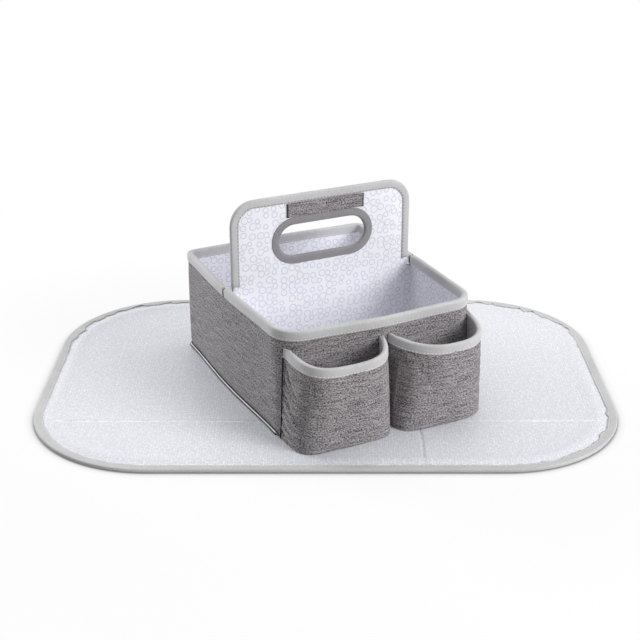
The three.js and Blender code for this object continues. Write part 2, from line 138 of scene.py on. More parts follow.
def heather_cloth(name, dark, light):
    material, tree, surface = start_material(
        name, {"Roughness": 0.95, "Specular IOR Level": 0.2, "Sheen Weight": 0.05, "Sheen Roughness": 0.5}
    )
    cloth = add(tree, "UVMap", uv_map="cloth").outputs["UV"]
    tones = []
    for size in (DASH, STREAK, WARP):
        place = add(tree, "Mapping", {"Scale": per_mm(*size)}, {"Vector": cloth})
        yarn = add(
            tree, "TexNoise", {"Scale": 1, "Detail": 1, "Roughness": 0.6}, {"Vector": place.outputs[0]},
            noise_dimensions="2D",
        )
        tones.append(yarn.outputs[0])
    weft = add(tree, "Mix", {0: STREAK_SHARE}, {2: tones[0], 3: tones[1]})
    tone = add(tree, "Mix", {0: WARP_SHARE}, {2: weft.outputs[0], 3: tones[2]})
    spread = add(
        tree, "MapRange", {"From Min": 0.5 - CONTRAST, "From Max": 0.5 + CONTRAST}, {"Value": tone.outputs[0]}
    )
    melange = add(
        tree, "Mix", {6: linear(dark), 7: linear(light)}, {0: spread.outputs[0]}, data_type="RGBA"
    )
    solid = add(tree, "TexCoord").outputs["Object"]
    patch = add(tree, "TexNoise", {"Scale": 1 / (SHADE_SIZE * MM), "Detail": 2}, {"Vector": solid})
    level = add(
        tree, "MapRange", {"To Min": 1 - SHADE_SPREAD, "To Max": 1 + SHADE_SPREAD},
        {"Value": patch.outputs[0]},
    )
    shaded = add(
        tree, "Mix", {0: 1}, {6: melange.outputs[2], 7: level.outputs[0]},
        data_type="RGBA", blend_type="MULTIPLY",
    )
    # Painted highlight and painted shade: the crease attribute mixes the colour towards the light yarn on a
    # ridge and away from it in a valley, where the attribute is below zero.
    painted_crease_light = add(tree, "Attribute", attribute_name="crease_and_painted_light").outputs["Fac"]
    drawn = add(
        tree, "Mix", {7: linear(light)}, {0: painted_crease_light, 6: shaded.outputs[2]},
        data_type="RGBA", clamp_factor=False, clamp_result=True,
    )
    relief = add(tree, "Bump", {"Strength": 0.4, "Distance": 0.4 * MM}, {"Height": tone.outputs[0]})
    tree.links.new(drawn.outputs[2], surface.inputs["Base Color"])
    tree.links.new(relief.outputs[0], surface.inputs["Normal"])
    return material


heather = heather_cloth("heather_polyester_weave", "#363133", "#bfbabc")
print("heather dashes drawn at mm:", DASH)

# %% [markdown]
# ## Printed lining and laminated mat
# Lining and mat carry the same kind of print: pale lilac-grey outlines on white. Here it is a plain
# scatter of rings. A Voronoi texture gives the distance to the middle of each cell, so a ring is where
# that distance is close to a radius, and the cell's random colour makes some rings smaller. Folding has
# left lines across the mat, which are bands on its UV map that a noise breaks up. The front one is painted
# white, partly a whitened fold and partly a painted highlight, and the other is painted a little grey. A
# clear film covers the mat's print, which the eye sees as a soft gloss, so the same function takes the
# shader's constants.

# %% Printed cloth
CREASE_FRONT = -113.5 * MM
CREASE_RIGHT = 97.2 * MM
CREASE_LINE = (0.3 * MM, 1.6 * MM)
CREASE_DASH_SIZE = 9.0
SCATTER = 0.55
RING_RADIUS = (0.26, 0.44)
LINING_CELL = 9.0
MAT_PRINT_CELL = 3.0


def ring_print(name, ground, line, cell, stroke, constants, relief_size, relief_depth, creases=()):
    material, tree, surface = start_material(name, constants)
    cloth = add(tree, "UVMap", uv_map="cloth").outputs["UV"]
    place = add(tree, "Mapping", {"Scale": per_mm(cell)}, {"Vector": cloth})
    cells = add(
        tree, "TexVoronoi", {"Scale": 1, "Randomness": SCATTER}, {"Vector": place.outputs[0]},
        voronoi_dimensions="2D",
    )
    chance = add(tree, "SeparateColor", None, {0: cells.outputs["Color"]})
    radius = add(
        tree, "MapRange", {"To Min": RING_RADIUS[0], "To Max": RING_RADIUS[1]}, {"Value": chance.outputs[0]}
    )
    apart = add(
        tree, "Math", None, {0: cells.outputs["Distance"], 1: radius.outputs[0]}, operation="SUBTRACT"
    )
    near = add(tree, "Math", None, {0: apart.outputs[0]}, operation="ABSOLUTE")
    ink = add(
        tree, "MapRange", {"From Min": stroke / 2, "From Max": stroke, "To Min": 1, "To Max": 0},
        {"Value": near.outputs[0]},
    )
    printed = add(
        tree, "Mix", {6: linear(ground), 7: linear(line)}, {0: ink.outputs[0]}, data_type="RGBA"
    )
    crease_dash_place = add(tree, "Mapping", {"Scale": per_mm(CREASE_DASH_SIZE)}, {"Vector": cloth})
    patchy = add(
        tree, "TexNoise", {"Scale": 1, "Detail": 1}, {"Vector": crease_dash_place.outputs[0]}, noise_dimensions="2D"
    )
    sides = add(tree, "SeparateXYZ", None, {0: cloth})
    for side, place, tint in creases:
        off = add(tree, "Math", {1: place}, {0: sides.outputs[side]}, operation="SUBTRACT")
        apart = add(tree, "Math", None, {0: off.outputs[0]}, operation="ABSOLUTE")
        core = add(
            tree, "MapRange",
            {"From Min": CREASE_LINE[0], "From Max": CREASE_LINE[1], "To Min": 1, "To Max": 0},
            {"Value": apart.outputs[0]},
        )
        crease_dashes = add(tree, "MapRange", {"From Min": 0.35, "From Max": 0.6}, {"Value": patchy.outputs[0]})
        mark = add(tree, "Math", None, {0: core.outputs[0], 1: crease_dashes.outputs[0]}, operation="MULTIPLY")
        printed = add(
            tree, "Mix", {7: linear(tint)}, {0: mark.outputs[0], 6: printed.outputs[2]}, data_type="RGBA"
        )
    ripple_place = add(tree, "Mapping", {"Scale": per_mm(*relief_size)}, {"Vector": cloth})
    ripple_noise = add(tree, "TexNoise", {"Scale": 1, "Detail": 3}, {"Vector": ripple_place.outputs[0]})
    relief = add(
        tree, "Bump", {"Strength": 0.5, "Distance": relief_depth * MM}, {"Height": ripple_noise.outputs[0]}
    )
    tree.links.new(printed.outputs[2], surface.inputs["Base Color"])
    tree.links.new(relief.outputs[0], surface.inputs["Normal"])
    return material


COTTON = {"Roughness": 0.85, "Specular IOR Level": 0.25, "Sheen Weight": 0.1}
FILM = {"Roughness": 0.42, "Specular IOR Level": 0.35, "Coat Weight": 0.08, "Coat Roughness": 0.25}
lining_print = ring_print(
    "printed_cotton_lining", "#f7f7fc", "#d8d7e8", LINING_CELL, 0.07, COTTON, (0.9, 0.9), 0.12
)
# The front fold is painted white, partly a whitened fold and partly a painted highlight; the other is painted
# a little grey.
mat_print = ring_print(
    "laminated_printed_film", "#f3f4f8", "#cbced9", MAT_PRINT_CELL, 0.13, FILM, (60.0, 9.0), 0.6,
    [(1, CREASE_FRONT, "#ffffff"), (0, CREASE_RIGHT, "#c4c6d0")],
)
print("cells of the print in mm:", LINING_CELL, MAT_PRINT_CELL)

# %% [markdown]
# ## Binding tape, thread, backing, board and wadding
# The binding is a woven polyester tape with fine ribs across it and a slight silky sheen. Its ribs are
# about 0.5 mm apart and are drawn wider to show. The same ribbed cloth in other colours serves the darker
# tape of the hand hole, whose darker grey is partly its own and partly painted shade, the mat's back and
# the pale welt. Thread, board and wadding only need a fine grain. The grey thread of the divider and the
# near-black thread of the seams also paint shade.

# %% Tapes and inner materials
def ribbed_cloth(name, dark, light, rib, constants):
    material, tree, surface = start_material(name, constants)
    cloth = add(tree, "UVMap", uv_map="cloth").outputs["UV"]
    place = add(tree, "Mapping", {"Scale": per_mm(rib, rib * 6)}, {"Vector": cloth})
    ribs = add(
        tree, "TexNoise", {"Scale": 1, "Detail": 2}, {"Vector": place.outputs[0]}, noise_dimensions="2D"
    )
    solid = add(tree, "TexCoord").outputs["Object"]
    patch = add(tree, "TexNoise", {"Scale": 1 / (SHADE_SIZE * MM), "Detail": 3}, {"Vector": solid})
    both = add(tree, "Mix", {0: 0.5}, {2: ribs.outputs[0], 3: patch.outputs[0]})
    spread = add(tree, "MapRange", {"From Min": 0.3, "From Max": 0.7}, {"Value": both.outputs[0]})
    colour = add(
        tree, "Mix", {6: linear(dark), 7: linear(light)}, {0: spread.outputs[0]}, data_type="RGBA"
    )
    relief = add(tree, "Bump", {"Strength": 0.35, "Distance": 0.15 * MM}, {"Height": ribs.outputs[0]})
    tree.links.new(colour.outputs[2], surface.inputs["Base Color"])
    tree.links.new(relief.outputs[0], surface.inputs["Normal"])
    return material


def grained(name, dark, light, grain, constants):
    material, tree, surface = start_material(name, constants)
    solid = add(tree, "TexCoord").outputs["Object"]
    fibre = add(tree, "TexNoise", {"Scale": 1 / (grain * MM), "Detail": 4}, {"Vector": solid})
    colour = add(
        tree, "Mix", {6: linear(dark), 7: linear(light)}, {0: fibre.outputs[0]}, data_type="RGBA"
    )
    relief = add(tree, "Bump", {"Strength": 0.4, "Distance": 0.2 * MM}, {"Height": fibre.outputs[0]})
    tree.links.new(colour.outputs[2], surface.inputs["Base Color"])
    tree.links.new(relief.outputs[0], surface.inputs["Normal"])
    return material


SATIN = {"Roughness": 0.7, "Specular IOR Level": 0.3, "Sheen Weight": 0.15, "Sheen Roughness": 0.4}
DULL = {"Roughness": 0.95, "Specular IOR Level": 0.2}
tape_cloth = ribbed_cloth("ribbed_polyester_tape", "#bdbcbd", "#d2d2d3", 0.9, SATIN)
# The hand hole's tape is a darker grey, partly its own colour and partly painted shade.
dark_tape_painted_shade = ribbed_cloth("dark_ribbed_tape_painted_shade", "#858386", "#9c9a9d", 0.9, SATIN)
back_cloth = ribbed_cloth("woven_polyester_back", "#d0d0d4", "#e2e2e5", 1.2, SATIN)
piping_cloth = ribbed_cloth("pale_polyester_piping", "#efeef0", "#f6f5f7", 0.9, SATIN)
pale_thread = grained("pale_sewing_thread", "#dedde0", "#eeedf0", 0.6, SATIN)
# The divider's grey stitches are partly the thread's grey and partly painted shade in the stitch holes.
grey_thread_painted_shade = grained("grey_sewing_thread_painted_shade", "#767478", "#8e8c90", 0.6, SATIN)
# Near-black thread that paints the shade in dips, gaps and grooves along seams.
dark_thread_painted_shade = grained("dark_sewing_thread_painted_shade", "#211e20", "#343033", 0.6, DULL)
fibre_board = grained("pressed_fibre_board", "#6f675e", "#8a8177", 2.5, DULL)
wadding = grained("polyester_wadding", "#e6e4da", "#f6f4ee", 3.0, DULL)
FINISH = {
    "heather": (heather, "heather_cloth"),
    "print": (lining_print, "printed_lining"),
    "tape": (tape_cloth, "binding_tape"),
    "dark tape painted shade": (dark_tape_painted_shade, "dark_tape"),
    "film": (mat_print, "laminated_print"),
    "piping": (piping_cloth, "binding_tape"),
    "back": (back_cloth, "woven_back"),
    "pale thread": (pale_thread, "binding_tape"),
    "grey thread painted shade": (grey_thread_painted_shade, "dark_tape"),
    "dark thread painted shade": (dark_thread_painted_shade, "dark_tape"),
    "wadding": (wadding, "foam"),
}
print("finishes:", len(FINISH))

# %% [markdown]
# ## Outlines from the CAD solids
# Cloth follows the solid that it covers, so its outline is measured and not drawn again. A plane cuts a
# copy of the solid and leaves the loops of the cut. A thin bent wall gives one long loop that runs out
# along its outer face and comes back along its inner face, and the two sharp turns mark its ends. The
# solids are faceted, so the lines are eased a little.

# %% Outlines from the solids
FACET_EASE = 2.5 * MM
FINE_STEP = 0.5 * MM


def line_length(line):
    return float(np.linalg.norm(np.diff(line, axis=0), axis=1).sum())


def even(line, count, closed=False):
    """The same line with evenly spaced points."""
    if closed:
        line = np.vstack([line, line[:1]])
    steps = np.linalg.norm(np.diff(line, axis=0), axis=1)
    travelled = np.concatenate([[0], np.cumsum(steps)])
    places = np.linspace(0, travelled[-1], count, endpoint=not closed)
    return np.column_stack([np.interp(places, travelled, line[:, k]) for k in range(3)])


def eased(line, width, closed=False):
    """The line, which has even steps, with its facets rounded off over a width."""
    spacing = np.linalg.norm(line[1] - line[0])
    reach = int(3 * width / spacing)
    if closed:
        longer = np.vstack([line[-reach:], line, line[:reach]])
    else:
        before = 2 * line[0] - line[reach:0:-1]
        after = 2 * line[-1] - line[-2 : -reach - 2 : -1]
        longer = np.vstack([before, line, after])
    weights = np.exp(-0.5 * (np.arange(-reach, reach + 1) * spacing / width) ** 2)
    weights /= weights.sum()
    return np.column_stack([np.convolve(longer[:, k], weights, "valid") for k in range(3)])


def slice_loops(node, place, direction):
    """The loops where a plane cuts a CAD node, longest first."""
    bm = bmesh.new()
    bm.from_mesh(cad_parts[node].data)
    bmesh.ops.remove_doubles(bm, verts=bm.verts, dist=0.01 * MM)
    bmesh.ops.bisect_plane(
        bm, geom=bm.verts[:] + bm.edges[:] + bm.faces[:], dist=0.001 * MM,
        plane_co=Vector(place), plane_no=Vector(direction), clear_inner=True, clear_outer=True,
    )
    loops = []
    used = set()
    for first in bm.verts:
        vert = None if first in used else first
        loop = []
        while vert:
            used.add(vert)
            loop.append(vert.co[:])
            nearby = [edge.other_vert(vert) for edge in vert.link_edges]
            vert = next((v for v in nearby if v not in used), None)
        if len(loop) > 2:
            loops.append(np.array(loop))
    bm.free()
    return sorted(loops, key=line_length, reverse=True)


def fine(line, closed=False):
    """The line in steps of about half a millimetre."""
    return even(line, max(int(line_length(line) / FINE_STEP), 8), closed)


def straight_end(side, trim=6):
    """The side of a strip with its first points, which turn round the strip's end, put in line."""
    ahead = side[trim] - side[trim + 4]
    ahead /= np.linalg.norm(ahead)
    reach = (side[0] - side[trim]) @ ahead
    return np.vstack([side[trim] + ahead * reach, side[trim:]])


def strip_sides(loop):
    """The outer and the inner side of a thin bent strip's loop, each from left to right."""
    points = fine(loop, closed=True)
    count = len(points)
    reach = 6
    before = points - np.roll(points, reach, axis=0)
    after = np.roll(points, -reach, axis=0) - points
    turn = (before * after).sum(axis=1) / np.linalg.norm(before, axis=1) / np.linalg.norm(after, axis=1)
    first = int(turn.argmin())
    away = np.abs((np.arange(count) - first + count // 2) % count - count // 2) > 40
    second = int(np.where(away, turn, 1).argmin())
    low, high = sorted((first, second))
    sides = [points[low : high + 1], np.vstack([points[high:], points[: low + 1]])]
    sides = [straight_end(straight_end(side)[::-1]) for side in sides]
    sides.sort(key=line_length, reverse=True)
    return [side if side[0, 0] < side[-1, 0] else side[::-1] for side in sides]


def run_at(node, z, count, side=0):
    """A standing strip's outer (0) or inner (1) side at a height, in evenly spaced points."""
    loop = slice_loops(node, (0, 0, z), UP)[0]
    return even(eased(fine(strip_sides(loop)[side]), FACET_EASE), count)


def outward(line, axis, middle, closed=False):
    """The direction away from the middle at each point of a flat line whose plane faces the axis."""
    ahead = np.roll(line, -1, axis=0) - np.roll(line, 1, axis=0) if closed else np.gradient(line, axis=0)
    out = np.cross(ahead, axis)
    out /= np.linalg.norm(out, axis=1)[:, None]
    return out if ((line - middle) * out).sum() > 0 else -out


caddy_low, caddy_high = (np.array(c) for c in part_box("base_outer_cloth"))
caddy_middle = (caddy_low + caddy_high) / 2
print("base of the caddy in mm:", np.round((caddy_high - caddy_low) / MM, 1))

# %% [markdown]
# ## Sewing a sheet
# A cloth piece starts as a flat grid of its cut size. Its UV map keeps that flat size in metres, so a
# weave is the same size on every piece. Each vertex is then carried to its place on the object, which is
# how cloth is bent over a form. Solidify gives the cloth its thickness on the inner side.

# %% Sheets of cloth
def finish_piece(name, bm, finish, body, stands_for=(), thickness=0.0):
    """Makes the object, gives it its finish and thickness, and lets it ride on a CAD body."""
    mesh = bpy.data.meshes.new(name)
    bm.to_mesh(mesh)
    bm.free()
    mesh.shade_smooth()
    piece = bpy.data.objects.new(name, mesh)
    bpy.context.scene.collection.objects.link(piece)
    material, slot = FINISH[finish]
    mesh.materials.append(material)
    if thickness:
        layer = piece.modifiers.new("cloth thickness", "SOLIDIFY")
        layer.thickness = thickness
        layer.offset = -1
    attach(piece, body)
    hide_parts(*stands_for)
    return piece


def sewn_grid(points, facing, closed=False):
    """A flat grid whose vertices are carried to points[row, column], with its faces towards facing."""
    if closed:
        points = np.concatenate([points, points[:, :1]], axis=1)
    rows, columns = points.shape[:2]
    length = line_length(points[rows // 2])
    height = line_length(points[:, columns // 2])
    bm = bmesh.new()
    flat = bm.loops.layers.uv.new("cloth")
    bmesh.ops.create_grid(bm, x_segments=columns - 1, y_segments=rows - 1, size=0.5)
    for face in bm.faces:
        for corner in face.loops:
            corner[flat].uv = (corner.vert.co.x * length, corner.vert.co.y * height)
    for vert in bm.verts:
        column = round((vert.co.x + 0.5) * (columns - 1))
        row = round((vert.co.y + 0.5) * (rows - 1))
        vert.co = points[row, column]
        if (row, column) == (rows // 2, columns // 2):
            sample = vert
    bm.normal_update()
    if sample.normal.dot(Vector(facing[columns // 2])) < 0:
        bmesh.ops.reverse_faces(bm, faces=bm.faces)
    if closed:
        bmesh.ops.remove_doubles(bm, verts=bm.verts, dist=0.001 * MM)
    return bm, (length, height)


def ripple(points, size, seed):
    """Smooth noise from about -1 to 1 at each point of an array of points."""
    start = Vector((seed * 17.3, seed * 5.1, seed * 9.7))
    values = [noise.noise(Vector(p) / (size * MM) + start) for p in points.reshape(-1, 3)]
    return np.array(values).reshape(points.shape[:-1])


def between(rows, heights, wanted):
    """Points of a standing surface at wanted heights, from rows that were measured at other heights."""
    steps = np.clip(np.searchsorted(heights, wanted) - 1, 0, len(heights) - 2)
    share = (wanted - heights[steps]) / (heights[steps + 1] - heights[steps])
    columns = np.arange(rows.shape[1])
    low = rows[steps, columns]
    high = rows[steps + 1, columns]
    return low + (high - low) * share[..., None]


# %% [markdown]
# ## Walls and lining
# Each half of the caddy is one long wall of heather cloth bent round two corners, with a printed lining
# inside. The cloth is taut over its boards, so it gets only a slow unevenness, small puckers below the
# rim's seam, and a pinch where the two halves meet. There the front half laps a little over the rear
# half. Two close columns of points end each wall, so that smooth shading turns round the cut edge in a
# very narrow strip.

# %% Walls and lining
WALL_CELL = 3 * MM
SLICES = 6
RIM_TAPE = 10.5 * MM
SEAM_GAP = 0.6 * MM
LAP = 1.2 * MM
END_STEP = 0.2 * MM
EASE_IN = 15 * MM
SLOW_RISE = 0.45 * MM
PUCKER_RISE = 0.3 * MM
PINCH = 0.4 * MM
FOOT_DRAW = 0.9 * MM
rim_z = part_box("rear_wall_cloth")[1].z


def standing_surface(node, side, foot, top, cell):
    """Rows of points over a wall's outer (0) or inner (1) face, and each column's direction outwards."""
    low, high = (corner.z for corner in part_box(node))
    measured = np.linspace(low + 0.3 * MM, high - 0.3 * MM, SLICES)
    columns = int(line_length(run_at(node, measured[0], 200, side)) / cell)
    lines = np.array([run_at(node, z, columns, side) for z in measured])
    heights = np.linspace(foot, top, int((top - foot) / cell) + 1)
    wanted = np.repeat(heights[:, None], columns, axis=1)
    points = between(lines, measured, wanted)
    return points, outward(lines[SLICES // 2], UP, caddy_middle)


def wall_piece(name, node, side, finish, foot, thickness, seed):
    points, out = standing_surface(node, side, foot, rim_z, WALL_CELL)
    facing = out if side == 0 else -out
    z = points[:, :, 2]
    below_tape = np.clip(rim_z - RIM_TAPE - z, 0, None)
    free = np.clip(below_tape / EASE_IN, 0, 1) * np.clip((z - foot) / EASE_IN, 0, 1)
    slow = SLOW_RISE * (1 + ripple(points, 55, seed)) * free
    pucker = PUCKER_RISE * ripple(points * (1, 1, 0.15), 7, seed + 1) * np.exp(-below_tape / (9 * MM))
    to_seam = np.minimum(np.arange(points.shape[1]), np.arange(points.shape[1])[::-1]) * WALL_CELL
    pinch = -PINCH * np.exp(-((to_seam / (4 * MM)) ** 2)) * np.exp(-below_tape / (7 * MM))
    drawn_in = -FOOT_DRAW * np.clip((foot + 7 * MM - z) / (4 * MM), 0, 1) if side == 0 else 0.0
    points = points + (slow + pucker + pinch + drawn_in)[..., None] * facing
    over = LAP if node.startswith("front") else 0.0
    for end, inner in ((0, 1), (-1, -2)):
        ahead = points[:, end] - points[:, inner]
        ahead /= np.linalg.norm(ahead, axis=1)[:, None]
        last = points[:, end] + ahead * (SEAM_GAP / 2 + over) + facing[end] * 0.1 * over
        columns = [last - ahead * END_STEP, last]
        points = np.insert(points, [0, 0] if end == 0 else [points.shape[1]] * 2, 0, axis=1)
        points[:, [1, 0] if end == 0 else [-2, -1]] = np.stack(columns, axis=1)
    facing = facing[np.clip(np.arange(-2, len(facing) + 2), 0, len(facing) - 1)]
    bm, flat = sewn_grid(points, facing)
    piece = finish_piece(name, bm, finish, "caddy", [node], thickness)


CLOTH = 1.2 * MM
LINING = 0.6 * MM
ground = caddy_low[2] + 0.1 * MM
floor_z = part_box("rear_floor_lining")[0].z
for half in ("rear", "front"):
    wall_piece(half + "_outer_wall", half + "_wall_cloth", 0, "heather", ground, CLOTH, 1)
    wall_piece(half + "_wall_print", half + "_wall_lining", 1, "print", floor_z, LINING, 5)
print("walls stand up to mm:", round(rim_z / MM, 1))

# %% [markdown]
# ## Flat panels
# Floors, the base and the covers of the divider are flat. One face of the CAD solid is kept, its
# triangles are dissolved, and parallel planes cut it into a fine grid, so its outline stays exact. The UV
# map is the flat panel itself.

# %% Flat panels
def reach_along(bm, axis):
    """The lowest and the highest place of a mesh along an axis."""
    places = [vert.co.dot(Vector(axis)) for vert in bm.verts]
    return min(places), max(places)


def add_cuts(bm, axis, places):
    """Cuts a flat mesh along planes that face the axis."""
    for place in places:
        everything = bm.verts[:] + bm.edges[:] + bm.faces[:]
        bmesh.ops.bisect_plane(
            bm, geom=everything, dist=0.01 * MM, plane_co=Vector(axis) * place, plane_no=Vector(axis)
        )


def panel(node, facing, first, second, cell):
    """One flat face of a CAD node as a fine mesh. first and second are the panel's two directions."""
    bm = bmesh.new()
    bm.from_mesh(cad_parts[node].data)
    bmesh.ops.remove_doubles(bm, verts=bm.verts, dist=0.01 * MM)
    bm.normal_update()
    others = [face for face in bm.faces if face.normal.dot(Vector(facing)) < 0.9]
    bmesh.ops.delete(bm, geom=others, context="FACES")
    bmesh.ops.dissolve_limit(bm, angle_limit=0.01, verts=bm.verts, edges=bm.edges)
    for axis in (first, second):
        low, high = reach_along(bm, axis)
        add_cuts(bm, axis, np.arange(low + cell, high, cell))
    flat = bm.loops.layers.uv.new("cloth")
    for face in bm.faces:
        for corner in face.loops:
            corner[flat].uv = (corner.vert.co.dot(Vector(first)), corner.vert.co.dot(Vector(second)))
    return bm


def flat_size(bm, first, second):
    """Width, length and area of a panel that is still flat."""
    sides = []
    for axis in (first, second):
        low, high = reach_along(bm, axis)
        sides.append(high - low)
    return tuple(sides), sum(face.calc_area() for face in bm.faces)


def level_panel(name, node, finish, facing, thickness, seed):
    bm = panel(node, facing, X, Y, 6 * MM)
    flat, area = flat_size(bm, X, Y)
    for vert in bm.verts:
        lift = 0.25 * MM * (1 + noise.noise(vert.co / (40 * MM) + Vector((seed, 0, 0))))
        vert.co += Vector(facing) * (lift if facing[2] > 0 else 0)
    piece = finish_piece(name, bm, finish, "caddy", [node], thickness)


level_panel("rear_floor_print", "rear_floor_lining", "print", UP, LINING, 1)
level_panel("front_floor_print", "front_floor_lining", "print", UP, LINING, 2)
level_panel("base_heather", "base_outer_cloth", "heather", -UP, CLOTH, 3)
level_panel("left_pocket_bottom", "left_pocket_floor", "heather", UP, CLOTH, 4)
level_panel("right_pocket_bottom", "right_pocket_floor", "heather", UP, CLOTH, 5)
print("panels laid")

# %% [markdown]
# ## Letting cloth settle
# Cloth that is sewn round its edge is never quite smooth inside it: it is cut a little too long and the
# padding pushes it out. A short cloth simulation finds that shape. The edge is held, the cloth is made a
# few thousandths longer than its place, and what moves too far is stopped, because other pieces are
# close.

# %% Cloth simulation
SETTLE_FRAMES = 20


def near_edge(bm, reach):
    """Indices of the vertices that lie within a reach of the sheet's edge."""
    spots = np.array([vert.co[:] for vert in bm.verts])
    rim = spots[[vert.is_boundary for vert in bm.verts]]
    apart = [np.linalg.norm(rim - spot, axis=1).min() for spot in spots]
    return np.nonzero(np.array(apart) < reach)[0].tolist()


def settle(bm, held, slack, pressure, most):
    """Moves a sheet's free vertices as a cloth simulation does, none of them further than most."""
    mesh = bpy.data.meshes.new("settling")
    bm.to_mesh(mesh)
    sheet = bpy.data.objects.new("settling", mesh)
    scene = bpy.context.scene
    scene.collection.objects.link(sheet)
    sheet.vertex_groups.new(name="sewn").add(held, 1, "REPLACE")
    cloth = sheet.modifiers.new("settling", "CLOTH")
    cloth.settings.vertex_group_mass = "sewn"
    cloth.settings.effector_weights.gravity = 0
    cloth.settings.shrink_min = -slack
    cloth.settings.use_pressure = True
    cloth.settings.uniform_pressure_force = pressure
    cloth.settings.mass = 0.1
    cloth.collision_settings.use_collision = False
    cloth.point_cache.frame_end = SETTLE_FRAMES
    for number in range(1, SETTLE_FRAMES + 1):
        scene.frame_set(number)
    settled = sheet.evaluated_get(bpy.context.evaluated_depsgraph_get()).data
    moves = []
    for vert, after in zip(bm.verts, settled.vertices):
        move = after.co - vert.co
        moves.append(move.length / MM)
        vert.co += move * min(1, most / max(move.length, 0.001 * MM))
    bpy.data.objects.remove(sheet)
    scene.frame_set(1)
    print("settled by mm:", round(float(np.mean(moves)), 2), "at most", round(max(moves), 2))


# %% [markdown]
# ## Binding tape and stitches
# A binding tape is folded in half over an edge and sewn through close to its free edges. Its section is
# two legs and a rounded nose, pressed in a little along the seam and along the free edges. The section is
# carried along the edge. Each stitch is a small flattened bead of thread with few faces, because there
# are many. Where a seam lies in a dip, a gap or a groove, a round near-black thread runs along it, which
# paints the shade of that dip: painted shade.

# %% Tape and stitch helpers
SEAM_INSET = 1.8 * MM
SEAM_SINK = 0.22 * MM
EDGE_PRESS = 0.35 * MM
TAPE = 0.6 * MM
LEG_POINTS = 12
USUAL_TAPE = 10 * MM
STITCH = 2.6 * MM
STITCH_PITCH = 3.8 * MM
STITCH_WIDTH = 0.9 * MM
SEAM_SHADE_WIDTH = 1.5 * MM


def fold_section(width, thickness, sink=SEAM_SINK):
    """A folded tape's section: how far towards the fold, and how far across, from one edge to the other."""
    half = thickness / 2
    leg = np.linspace(-width, -half, LEG_POINTS)
    from_edge = leg + width
    sunk = sink * np.exp(-(((from_edge - SEAM_INSET) / (0.9 * MM)) ** 2))
    sunk = sunk + EDGE_PRESS * np.exp(-((from_edge / (1.0 * MM)) ** 2))
    turn = np.linspace(0.5 * np.pi, -0.5 * np.pi, 11)[1:-1]
    nose_fold = half * np.abs(np.cos(turn)) ** 0.8 - half
    nose_across = half * np.sign(np.sin(turn)) * np.abs(np.sin(turn)) ** 0.8
    one = np.column_stack([leg, half - sunk])
    nose = np.column_stack([nose_fold, nose_across])
    other = np.column_stack([leg, sunk - half])[::-1]
    return np.vstack([one, nose, other])


def carried(section, tip, fold, across):
    """The points of a section that is carried along tip."""
    towards_fold, sideways = section.T[:, :, None, None]
    return tip + towards_fold * fold + sideways * across


def tape_points(tip, fold, across, width, thickness, waver, seed, pitch=14):
    """Points of a tape whose folded edge runs along tip. waver is how uneven its free edges are."""
    section = fold_section(width, thickness)
    points = carried(section, tip, fold, across)
    edge = np.clip(-section[:, 0] / width, 0, 1) ** 2
    side = np.sign(section[:, 1])
    uneven = np.array([ripple(tip + s * 0.1, pitch, seed) for s in (-1, 0, 1)])
    shift = waver * edge[:, None] * uneven[(side + 1).astype(int)]
    lift = 0.25 * np.abs(shift) * np.clip(side, 0, 1)[:, None]
    return points + shift[..., None] * fold[None] + lift[..., None] * across[None]


bead_mesh = bpy.data.meshes.new("stitch_bead")
bead_start = bmesh.new()
bmesh.ops.create_uvsphere(bead_start, u_segments=6, v_segments=4, radius=0.5)
bead_start.to_mesh(bead_mesh)
bead_start.free()


def add_stitches(bm, line, above, closed=False):
    """Adds beads of thread along a line; above points out of the cloth at each point of the line."""
    count = int(line_length(line) / STITCH_PITCH)
    places = even(line, count, closed)
    picks = np.linspace(0, len(line) - 1, count).astype(int)
    ahead = np.roll(places, -1, axis=0) - places
    ahead[-1] = ahead[-2]
    for place, way, pick in zip(places, ahead, picks):
        along = Vector(way).normalized()
        lift = Vector(above[pick])
        beside = lift.cross(along).normalized()
        turned = Matrix((beside, lift, along)).transposed().to_4x4()
        sized = turned @ Matrix.Diagonal((STITCH_WIDTH, STITCH_WIDTH * 0.8, STITCH, 1))
        sized.translation = Vector(place)
        bead_mesh.transform(sized)
        bm.from_mesh(bead_mesh)
        bead_mesh.transform(sized.inverted())


def seam_lines(points, across):
    """The two sewing lines of a tape, on its two faces, each with its direction out of the cloth."""
    rows = len(points)
    row = round((LEG_POINTS - 1) * SEAM_INSET / USUAL_TAPE)
    return [(points[row], across), (points[rows - 1 - row], -across)]


def seam_line_painted_shade(name, line, above, width=SEAM_SHADE_WIDTH):
    """A round near-black thread along a line, which paints the shade of a seam's dip; above points out of the
    cloth at each point of the line.
    """
    beside = np.cross(above, np.gradient(line, axis=0))
    beside /= np.linalg.norm(beside, axis=1)[:, None]
    ways = [math.cos(turn) * above + math.sin(turn) * beside for turn in np.arange(0, 6) * np.pi / 3]
    points = np.stack([line + width / 2 * way for way in ways], axis=1)
    bm, flat = sewn_grid(points, [way[len(line) // 2] for way in ways], closed=True)
    bmesh.ops.holes_fill(bm, edges=[edge for edge in bm.edges if edge.is_boundary], sides=0)
    finish_piece(name, bm, "dark thread painted shade", "caddy")


caddy_stitches = bmesh.new()
mat_stitches = bmesh.new()
grey_stitches = bmesh.new()


def bind(
    name, node, tip, fold, across, width, thickness,
    finish="tape", closed=False, waver=0.3 * MM, seed=1, pitch=14,
):
    """Makes a folded tape that stands for a CAD node and returns its points."""
    points = tape_points(tip, fold, across, width, thickness, waver, seed, pitch)
    bm, flat = sewn_grid(points, fold, closed)
    body = "mat" if name.startswith("mat") else "caddy"
    piece = finish_piece(name, bm, finish, body, [node], TAPE)
    return points


